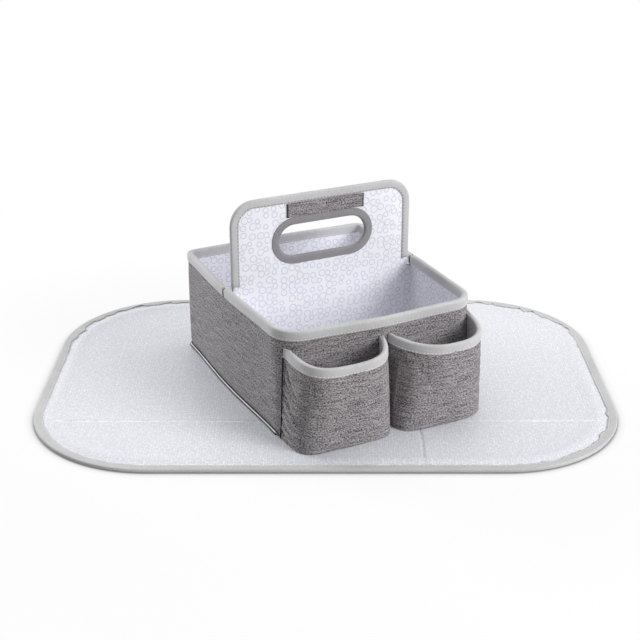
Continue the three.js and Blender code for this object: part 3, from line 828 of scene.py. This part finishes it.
# %% [markdown]
# ## Rim tapes and welt
# The rim of each half is bound, and the two tapes meet at the divider with rounded ends. A near-black
# thread between them paints the shade of the gap. Along the foot of the walls runs a pale welt, which is a
# narrow tape folded outwards. A near-black thread above it paints the shade of the groove between wall and
# welt, and a thicker one below it paints the contact shadow at the foot.

# %% Rim tapes and welt
RIM_STEP = 2.5 * MM
END_ROUND = 2.2 * MM
WELT_STAND = 1.9 * MM
WELT_ROUND = 1.6 * MM
FOOT_SHADOW_WIDTH = 1.7 * MM
WELT_SHADE_WIDTH = 1.0 * MM


def rim_binding(half, seed):
    node = half + "_rim_tape"
    low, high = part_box(node)
    outer, inner = slice_loops(node, (0, 0, low.z + 2 * MM), UP)[:2]
    count = int(line_length(outer) / 2 / RIM_STEP)
    face = even(eased(fine(strip_sides(outer)[0]), FACET_EASE), count)
    out = outward(face, UP, caddy_middle)
    back = even(strip_sides(inner)[1], count)
    thickness = float(np.linalg.norm(face[count // 2] - back[count // 2]))
    tip = face - out * thickness / 2
    tip[:, 2] = high.z
    fold = np.repeat(UP[None], count, axis=0)
    points = tape_points(tip, fold, out, RIM_TAPE, thickness, 0.35 * MM, seed)
    to_end = np.minimum(np.arange(count), np.arange(count)[::-1]) * RIM_STEP
    inside = np.clip(END_ROUND - to_end, 0, None)
    drop = END_ROUND - np.sqrt(END_ROUND**2 - inside**2)
    points[:, :, 2] = np.minimum(points[:, :, 2], high.z - drop)
    bm, flat = sewn_grid(points, fold)
    piece = finish_piece(half + "_rim_binding", bm, "tape", "caddy", [node], TAPE)
    for line, above in seam_lines(points, out):
        add_stitches(caddy_stitches, line, above)
    return points


rear_rim = rim_binding("rear", 0)
front_rim = rim_binding("front", 1)
# Painted shade: a near-black thread where the two rim tapes meet stands for the shade of the gap.
for side, column in (("left", 0), ("right", -1)):
    line = (rear_rim[:, column] + front_rim[:, column]) / 2
    seam_line_painted_shade(side + "_rim_gap_painted_shade", line, outward(line, Y, line.mean(axis=0)))

welt_low, welt_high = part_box("base_welt")
welt_tip = run_at("base_welt", (welt_low.z + welt_high.z) / 2, 240)
welt_tip[:, 2] = welt_high.z - 0.2 * MM - WELT_ROUND / 2
welt_out = outward(welt_tip, UP, caddy_middle)
welt_across = np.repeat(UP[None], len(welt_tip), axis=0)
welt_section = fold_section(WELT_STAND, WELT_ROUND, 0)
bm, flat = sewn_grid(carried(welt_section, welt_tip, welt_out, welt_across), welt_out)
finish_piece("base_welt_piping", bm, "piping", "caddy", ["base_welt"], 0.5 * MM)
# Painted shade: a near-black thread in the groove between the wall and the welt.
welt_shade_line = welt_tip - welt_out * 1.5 * MM + welt_across * 1.1 * MM
seam_line_painted_shade("base_welt_painted_shade", welt_shade_line, welt_out, WELT_SHADE_WIDTH)
# Painted contact shadow: a thicker near-black thread below the welt, at the foot.
foot_shadow_line = welt_tip - welt_out * 0.4 * MM
foot_shadow_line[:, 2] = welt_low.z + FOOT_SHADOW_WIDTH / 2
seam_line_painted_shade("base_foot_painted_shadow", foot_shadow_line, welt_out, FOOT_SHADOW_WIDTH)
print("rim bound, welt sewn")

# %% [markdown]
# ## Divider and handle
# The divider is a stiff board between two printed covers. Its arch is bound with tape, a darker tape
# closes the hand hole, its grey partly its own and partly painted shade, and a patch of heather cloth
# makes the grip above it.

# %% Divider
divider_low, divider_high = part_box("divider_edge_tape")
divider_y = (divider_low.y + divider_high.y) / 2
half_divider = divider_high.y - divider_y
EDGE_TAPE = 9 * MM
HOLE_TAPE = 9 * MM
FOOT_REACH = 1.2 * MM


def cover(name, node, facing):
    bm = panel(node, facing, X, UP, 4 * MM)
    flat, area = flat_size(bm, X, UP)
    settle(bm, near_edge(bm, 10 * MM), 0.002, 1.0, 0.9 * MM)
    piece = finish_piece(name, bm, "print", "caddy", [node], LINING)


cover("divider_front_print", "divider_front_cover", FRONT)
cover("divider_rear_print", "divider_rear_cover", -FRONT)

arch_loop = slice_loops("divider_edge_tape", (0, divider_y, 0), FRONT)[0]
arch_side = strip_sides(arch_loop)[0]
arch = even(eased(fine(arch_side), FACET_EASE), int(line_length(arch_side) / RIM_STEP))
arch[[0, -1]] -= FOOT_REACH * UP
hole_loop = slice_loops("hand_hole_tape", (0, divider_y, 0), FRONT)[-1]
hole_middle = hole_loop.mean(axis=0)
arch_out = outward(arch, FRONT, hole_middle)
arch_front = np.repeat(FRONT[None], len(arch), axis=0)
arch_points = bind(
    "divider_edge_binding", "divider_edge_tape", arch, arch_out, arch_front, EDGE_TAPE, 2 * half_divider,
    seed=3,
)
# Grey stitches, partly the thread's grey and partly painted shade in the stitch holes.
for line, above in seam_lines(arch_points, arch_front):
    add_stitches(grey_stitches, line, above)

hole = fine(hole_loop, closed=True)
hole = even(eased(hole, FACET_EASE, closed=True), int(line_length(hole) / RIM_STEP), closed=True)
hole_in = -outward(hole, FRONT, hole_middle, closed=True)
hole_front = np.repeat(FRONT[None], len(hole), axis=0)
bind(
    "hand_hole_binding", "hand_hole_tape", hole, hole_in, hole_front, HOLE_TAPE, 2 * half_divider,
    finish="dark tape painted shade", closed=True, seed=4,
)
print("divider rises to mm:", round(divider_high.z / MM, 1))

# %% [markdown]
# ## Grip patches
# On both faces a patch of heather cloth lies between the two tapes. Its short sides are hemmed: a folded
# edge stands a little proud, and a near-black thread runs along it, partly its stitching and partly
# painted shade along the hem.

# %% Grip patches
GRIP_CELL = 1.5 * MM
HEM = 2.5 * MM
HEM_RISE = 0.5 * MM
GRIP_THREAD = 1.2 * MM


def grip(name, node, facing):
    low, high = (np.array(c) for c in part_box(node))
    columns = int((high[0] - low[0]) / GRIP_CELL)
    rows = int((high[2] - low[2]) / GRIP_CELL) + 3
    x, z = np.meshgrid(np.linspace(low[0], high[0], columns), np.linspace(low[2], high[2], rows))
    face_y = low[1] if facing[1] < 0 else high[1]
    points = np.stack([x, np.full_like(x, face_y), z], axis=-1)
    to_side = np.minimum(x - low[0], high[0] - x)
    hem = HEM_RISE * np.exp(-((to_side / HEM) ** 4))
    soft = 0.25 * MM * (1 + ripple(points, 14, 7))
    points = points + (hem + soft)[..., None] * facing
    bm, flat = sewn_grid(points, np.repeat(facing[None], columns, axis=0))
    piece = finish_piece(name, bm, "heather", "caddy", [node], 0.7 * MM)
    above = np.repeat(facing[None], rows, axis=0)
    # The hem's near-black seam is partly stitching and partly painted shade along the hem.
    for side, column in (("left", 0), ("right", -1)):
        seam_line_painted_shade(f"{name}_{side}_seam", points[:, column], above, GRIP_THREAD)


grip("front_grip_cloth", "front_grip_patch", FRONT)
grip("rear_grip_cloth", "rear_grip_patch", -FRONT)
finish_piece("divider_stitches", grey_stitches, "grey thread painted shade", "caddy")
print("grip sewn")

# %% [markdown]
# ## Front pockets
# Two round pockets stand on the front wall. Their walls lean out to a wide mouth that dips in the middle,
# and the cloth is softer here than on the boards. The surface is measured at several heights, and above
# the last one it simply runs on. The left pocket's left end wraps a little round the corner of the wall,
# and the right pocket is dented beside its left seam. Fine creases fan out from the outer seams, where the
# cloth is drawn tight: each is a narrow ridge with a wider valley below it. Its height is also kept as an
# attribute, from which the cloth's colour is painted lighter on the ridge and darker in the valley: a
# painted highlight and painted shade. A near-black thread along each end of a pocket paints the shade of
# the gap against the wall.

# %% Pockets
MOUTH_DIP = 4.5 * MM
POCKET_CELL = 1.0 * MM
POCKET_TAPE = 10 * MM
POCKET_SLICES = 6
ROOT_WRAP = 2.5 * MM
ROOT_STAND = 0.9 * MM
FOLD_PLACE = 16 * MM
PULL_LENGTH = 38
PULL_WIDTH = 0.95
VALLEY_WIDTH = 4.0
PULL_RISE = 0.7 * MM
CREASE_PAINTED_LIGHT = 0.7
SOFT_RISE = 0.35 * MM
FOAM_DEPTH = 1.5 * MM
LINING_DEPTH = 3.4 * MM
MOUTH_EDGE = 5.4 * MM


def pocket_run(name, z, count, wrap):
    """A pocket's outer side at a height. The left pocket's left end runs on along the wall by wrap."""
    line = fine(strip_sides(slice_loops(name + "_cloth", (0, 0, z), UP)[0])[0])
    steps = int(wrap / FINE_STEP)
    if name == "left_pocket" and steps:
        wall = fine(run_at("front_wall_cloth", z, 800))
        wall = wall + outward(wall, UP, caddy_middle) * ROOT_STAND
        near = int(np.linalg.norm(wall - line[0], axis=1).argmin())
        line = np.vstack([wall[near - steps : near], line])
    return even(eased(fine(line), FACET_EASE), count)


def pocket_surface(name):
    """Points over a pocket's cloth from foot to mouth, and the outward direction at each of them."""
    node = name + "_cloth"
    low, high = (corner.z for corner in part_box(node))
    measured = np.linspace(low + 0.5 * MM, high - MOUTH_DIP - 1 * MM, POCKET_SLICES)
    columns = int(line_length(pocket_run(name, measured[-1], 200, 0)) / POCKET_CELL)
    wraps = ROOT_WRAP * np.linspace(0, 1, POCKET_SLICES)
    lines = np.array([pocket_run(name, z, columns, wrap) for z, wrap in zip(measured, wraps)])
    share = np.linspace(0, 1, columns)
    mouth = high - MOUTH_DIP * np.sin(np.pi * share)
    level = np.linspace(0, 1, int((high - low) / POCKET_CELL) + 1)
    wanted = low + (mouth - low)[None] * level[:, None]
    points = between(lines, measured, wanted)
    middle = np.array((lines[0, :, 0].mean(), caddy_low[1], 0))
    out = np.array([outward(row, UP, middle) for row in lines[[0, -1]]])
    normals = out[0] + (out[1] - out[0]) * level[:, None, None]
    normals /= np.linalg.norm(normals, axis=2)[..., None]
    return points, normals


def pull_lines(points, starts):
    """Height of thin creases. Each starts some mm along the pocket and above its foot, falls by a slope and
    has a valley below it."""
    along = np.arange(points.shape[1])[None] * POCKET_CELL / MM
    height = (points[:, :, 2] - points[0, :, 2].min()) / MM
    strength = np.zeros(points.shape[:2])
    for start, top, slope, valley in starts:
        run = along - start
        beside = (height - top + slope * run) / math.hypot(1, slope)
        fade = np.clip(run / 3, 0, 1) * np.clip((PULL_LENGTH - run) / (0.6 * PULL_LENGTH), 0, 1)
        ridge = np.exp(-((beside / PULL_WIDTH) ** 2))
        below = np.exp(-((beside / VALLEY_WIDTH + 1) ** 2))
        strength += fade * (ridge - valley * below)
    return strength


def pocket(name, seed, fold_depth, order, starts):
    points, normals = pocket_surface(name)
    rows = len(points)
    free = np.sin(np.pi * np.linspace(0, 1, rows))[:, None]
    beside_fold = np.clip(1 - np.arange(points.shape[1]) * POCKET_CELL / FOLD_PLACE, 0, 1)
    points = points - fold_depth * (free * beside_fold)[..., None] * normals
    soft = SOFT_RISE * (1 + ripple(points, 30, seed)) * free
    bm, flat = sewn_grid(points + soft[..., None] * normals, normals[rows // 2])
    settle(bm, near_edge(bm, 4 * MM), 0.004, 0.5, 1.4 * MM)
    # The crease attribute paints light and shade: the colour goes lighter on each ridge and darker in each
    # valley.
    strength = bm.verts.layers.float.new("crease_and_painted_light")
    pulls = pull_lines(points[:, ::order], starts)[:, ::order]
    for vert, crease_and_painted_light, normal in zip(bm.verts, pulls.ravel(), normals.reshape(-1, 3)):
        vert[strength] = CREASE_PAINTED_LIGHT * crease_and_painted_light
        vert.co += Vector(normal) * PULL_RISE * crease_and_painted_light
    cloth = finish_piece(name + "_heather", bm, "heather", "caddy", [name + "_cloth"], CLOTH)
    bm, flat = sewn_grid(points - normals * FOAM_DEPTH, normals[rows // 2])
    foam = finish_piece(name + "_padding", bm, "wadding", "caddy", [name + "_foam"], 1.0 * MM)
    bm, flat = sewn_grid(points - normals * LINING_DEPTH, -normals[rows // 2])
    lining = finish_piece(name + "_print", bm, "print", "caddy", [name + "_lining"], LINING)

    across = normals[-1]
    fold = points[-1] - points[-4]
    fold /= np.linalg.norm(fold, axis=1)[:, None]
    columns = len(across)
    to_end = np.minimum(np.arange(columns), np.arange(columns)[::-1]) * POCKET_CELL
    flattened = 0.4 + 0.6 * np.clip(to_end / (14 * MM), 0, 1)[:, None]
    tip = points[-1] + fold * 1.0 * MM + across * (1.0 * MM - MOUTH_EDGE / 2 * flattened)
    tape = bind(
        name + "_binding", name + "_tape", tip, fold, across * flattened, POCKET_TAPE, MOUTH_EDGE, seed=seed
    )
    for line, above in seam_lines(tape, across):
        add_stitches(caddy_stitches, line, above)
    # Painted shade: a near-black thread along each end of the pocket stands for the shade where it meets the
    # wall.
    inset = SEAM_INSET * np.linspace(1.5, -0.2, rows)[:, None]
    for side, end, inner in (("left", 0, 2), ("right", -1, -3)):
        inwards = points[:, inner] - points[:, end]
        inwards /= np.linalg.norm(inwards, axis=1)[:, None]
        line = points[:, end] + inwards * inset + normals[:, end] * 0.4 * MM
        seam_line_painted_shade(f"{name}_{side}_seam", line, normals[:, end])


# The last number of each crease is the depth of its valley, which also sets its painted shade; the left
# pocket's deeper valleys paint its left side darker.
LEFT_PULLS = [
    (0, 88, 1.0, 0.6), (0, 73, 0.85, 0.6), (0, 57, 0.75, 0.6), (0, 42, 0.6, 0.6), (0, 27, 0.5, 0.6),
    (0, 14, 0.4, 0.5), (16, 66, 0.5, 0.4),
]
RIGHT_PULLS = [(10, 74, 0.4, 0.1), (6, 62, 0.4, 0.1), (12, 51, 0.3, 0.1), (9, 38, 0.2, 0.1)]
pocket("left_pocket", 11, 0.0, 1, LEFT_PULLS)
pocket("right_pocket", 12, 3.0 * MM, -1, RIGHT_PULLS)
finish_piece("binding_stitches", caddy_stitches, "pale thread", "caddy")
print("pockets sewn")

# %% [markdown]
# ## Changing mat
# The mat is a printed and laminated sheet over thin wadding with a woven back, bound all round. It has
# been folded in its bag, so shallow creases cross it. The sheet swells a little beside the binding, and
# the binding puckers where it goes round the corners, most of all at the rear ones.

# %% Mat
MAT_CELL = 5 * MM
MAT_TAPE = 10 * MM
MAT_STEP = 2.5 * MM
MAT_CORNER = 132 * MM
EDGE_WAVER = 1.0
REAR_PUCKER = 6.5
FRONT_RIGHT_PUCKER = 2.5
FRONT_LEFT_PUCKER = 0.5
PUCKER_PITCH = 9.5
mat_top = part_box("mat_top_sheet")[1].z
mat_loop = slice_loops("mat_wadding", (0, 0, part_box("mat_wadding")[0].z + 0.5 * MM), UP)[0]
edges = np.roll(mat_loop, -1, axis=0) - mat_loop
longest = edges[np.linalg.norm(edges, axis=1).argmax()]
mat_long = longest / np.linalg.norm(longest) * np.sign(longest[0])
mat_deep = np.cross(UP, mat_long)
mat_edge = fine(mat_loop, closed=True)


def to_edge(place):
    """Distance from a place on the mat to its outline."""
    return float(np.linalg.norm(mat_edge[:, :2] - np.array(place[:2]), axis=1).min())


def crease(distance):
    """Height of the sheet at a distance from a fold line: a narrow valley between two low ridges."""
    ridges = 0.3 * MM * math.exp(-((distance / (7 * MM)) ** 2))
    valley = 0.6 * MM * math.exp(-((distance / (1.5 * MM)) ** 2))
    return ridges - valley


def sheet_height(place):
    edge = to_edge(place)
    across = place.dot(Vector(mat_deep)) - CREASE_FRONT
    along = place.dot(Vector(mat_long)) - CREASE_RIGHT
    folds = crease(across) + (crease(along) if across < 60 * MM else 0.0)
    swell = 0.9 * MM * math.exp(-(((edge - 19 * MM) / (6 * MM)) ** 2))
    wave = 0.35 * MM * noise.noise(place / (60 * MM)) + 0.2 * MM * noise.noise(place / (22 * MM))
    tuck = min(max((edge - MAT_TAPE - 1 * MM) / (5 * MM), 0.0), 1.0)
    height = (folds + swell + wave) * tuck - 0.8 * MM * (1 - tuck)
    under_caddy = all(caddy_low[k] - 6 * MM < place[k] < caddy_high[k] + 6 * MM for k in (0, 1))
    return min(height, 0.1 * MM) if under_caddy else height


bm = panel("mat_wadding", UP, mat_long, mat_deep, MAT_CELL)
mat_flat, mat_area = flat_size(bm, mat_long, mat_deep)
close_cuts = np.array((-3, -1.5, 0, 1.5, 3)) * MM
add_cuts(bm, mat_deep, CREASE_FRONT + close_cuts)
add_cuts(bm, mat_long, CREASE_RIGHT + close_cuts)
for vert in bm.verts:
    vert.co.z = mat_top + sheet_height(vert.co)
mat_sheet = finish_piece("mat_film", bm, "film", "mat", ["mat_top_sheet"], 0.5 * MM)

bm = panel("mat_wadding", UP, mat_long, mat_deep, 20 * MM)
bmesh.ops.translate(bm, verts=bm.verts, vec=(0, 0, -0.4 * MM))
mat_padding = finish_piece("mat_padding", bm, "wadding", "mat", ["mat_wadding"], 1.4 * MM)

bm = panel("mat_back_sheet", -UP, mat_long, mat_deep, 10 * MM)
back_flat, back_area = flat_size(bm, mat_long, mat_deep)
mat_back = finish_piece("mat_woven_back", bm, "back", "mat", ["mat_back_sheet"], 0.5 * MM)

tape_low, tape_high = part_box("mat_edge_tape")
tape_loop = slice_loops("mat_edge_tape", (0, 0, (tape_low.z + tape_high.z) / 2), UP)[0]
tape_tip = eased(fine(tape_loop, closed=True), FACET_EASE, closed=True)
tape_tip = even(tape_tip, int(line_length(tape_tip) / MAT_STEP), closed=True)
tape_out = outward(tape_tip, UP, np.zeros(3), closed=True)
tape_up = np.repeat(UP[None], len(tape_tip), axis=0)
bend = np.linalg.norm(np.roll(tape_out, -1, axis=0) - tape_out, axis=1) / MAT_STEP * MAT_CORNER
bend = np.mean([np.roll(np.clip(bend, 0, 1), step) for step in range(-6, 7)], axis=0)
front_puckers = np.where(tape_tip @ mat_long > 0, FRONT_RIGHT_PUCKER, FRONT_LEFT_PUCKER)
puckers = np.where(tape_tip @ mat_deep > 0, REAR_PUCKER, front_puckers) * bend
tape_points_mat = bind(
    "mat_edge_binding", "mat_edge_tape", tape_tip, tape_out, tape_up, MAT_TAPE,
    tape_high.z - tape_low.z, closed=True, waver=(EDGE_WAVER + puckers) * MM, seed=8, pitch=PUCKER_PITCH,
)
for line, above in seam_lines(tape_points_mat, tape_up):
    add_stitches(mat_stitches, line, above, closed=True)
finish_piece("mat_binding_stitches", mat_stitches, "pale thread", "mat")
print("mat measures mm:", [round(side / MM) for side in mat_flat])

# %% [markdown]
# ## Boards inside
# The stiffeners keep their CAD shape, because they are plain boards. They only need the look of pressed
# fibre.

# %% Boards
boards = [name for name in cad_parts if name.endswith("_board")]
for name in boards:
    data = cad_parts[name].data
    data.materials.clear()
    data.materials.append(fibre_board)
print("boards:", len(boards))

# %% [markdown]
# ## Floor, backdrop and light
# The photograph has a white background with almost no shadow. The floor is white, and part of what the
# camera sees of it is its own light, all of it far from the set, so it stays white while the set shades
# it a little. Close to the set, ambient occlusion dims that light, which leaves a thin dark line under
# the mat's edge. One large soft lamp hangs above and behind, a second stands at the front right and a
# weaker one at the back left. The world fills the shadows.

# %% Floor, world and lamps
FLOOR_SIZE = 6.0
NEAR_GLOW = 0.8
FLOOR_BOUNCE = 0.7
FLOOR_SEEN = 0.96
CONTACT_GLOW = 0.2
LAMP_AIM = Vector((0, 0, 0.08))
CONTACT = 10.0
GLOW_FROM = 0.38
GLOW_TO = 0.75
WORLD_LIGHT = 0.12


def seen_directly(tree):
    """1 for rays from the camera and from reflections, which see the background, and 0 for rays of light."""
    rays = add(tree, "LightPath")
    kinds = {0: rays.outputs["Is Camera Ray"], 1: rays.outputs["Is Glossy Ray"]}
    return add(tree, "Math", None, kinds, operation="MAXIMUM").outputs[0]


def white_floor():
    bm = bmesh.new()
    bmesh.ops.create_grid(bm, x_segments=1, y_segments=1, size=FLOOR_SIZE / 2)
    bmesh.ops.translate(bm, verts=bm.verts, vec=(0, 0, -0.3 * MM))
    mesh = bpy.data.meshes.new("white_floor")
    bm.to_mesh(mesh)
    bm.free()
    floor = bpy.data.objects.new("white_floor", mesh)
    bpy.context.scene.collection.objects.link(floor)
    material = bpy.data.materials.new("white_paper")
    material.use_nodes = True
    tree = material.node_tree
    tree.nodes.clear()
    seen = seen_directly(tree)
    spot = add(tree, "TexCoord").outputs["Object"]
    away = add(tree, "VectorMath", None, {0: spot}, operation="LENGTH")
    share = add(
        tree, "MapRange", {"From Min": GLOW_FROM, "From Max": GLOW_TO, "To Min": NEAR_GLOW, "To Max": 1},
        {"Value": away.outputs["Value"]},
    )
    part = add(tree, "Math", None, {0: seen, 1: share.outputs[0]}, operation="MULTIPLY")
    tone = add(tree, "MapRange", {"To Min": FLOOR_BOUNCE, "To Max": FLOOR_SEEN}, {"Value": seen})
    paper = add(tree, "BsdfDiffuse", None, {"Color": tone.outputs[0]})
    open_share = add(tree, "AmbientOcclusion", {"Distance": CONTACT * MM}, samples=8).outputs["AO"]
    lit = add(
        tree, "MapRange", {"From Min": 0.5, "From Max": 0.95, "To Min": CONTACT_GLOW, "To Max": 1},
        {"Value": open_share},
    )
    glow = add(tree, "Emission", {"Color": (1, 1, 1, 1)}, {"Strength": lit.outputs[0]})
    both = add(tree, "MixShader", None, {0: part.outputs[0], 1: paper.outputs[0], 2: glow.outputs[0]})
    add(tree, "OutputMaterial", None, {0: both.outputs[0]})
    mesh.materials.append(material)


def white_world():
    world = bpy.data.worlds.new("white_studio")
    bpy.context.scene.world = world
    world.use_nodes = True
    tree = world.node_tree
    tree.nodes.clear()
    level = add(tree, "MapRange", {"To Min": WORLD_LIGHT, "To Max": 1}, {"Value": seen_directly(tree)})
    sky = add(tree, "Background", {"Color": (1, 1, 1, 1)}, {"Strength": level.outputs[0]})
    add(tree, "OutputWorld", None, {0: sky.outputs[0]})


def soft_lamp(name, place, size, watts):
    light = bpy.data.lights.new(name, "AREA")
    light.size = size
    light.energy = watts
    lamp = bpy.data.objects.new(name, light)
    lamp.location = place
    aim = LAMP_AIM - Vector(place)
    lamp.rotation_euler = aim.to_track_quat("-Z", "Y").to_euler()
    bpy.context.scene.collection.objects.link(lamp)


white_floor()
white_world()
soft_lamp("top_softbox", (0.25, 0.45, 2.0), 2.4, 29)
soft_lamp("right_softbox", (1.3, -2.0, 1.1), 1.2, 49)
soft_lamp("left_softbox", (-1.0, 1.95, 0.42), 1.2, 44)
bpy.context.scene.view_settings.view_transform = "Standard"
print("lamps:", [light.name for light in bpy.data.lights])
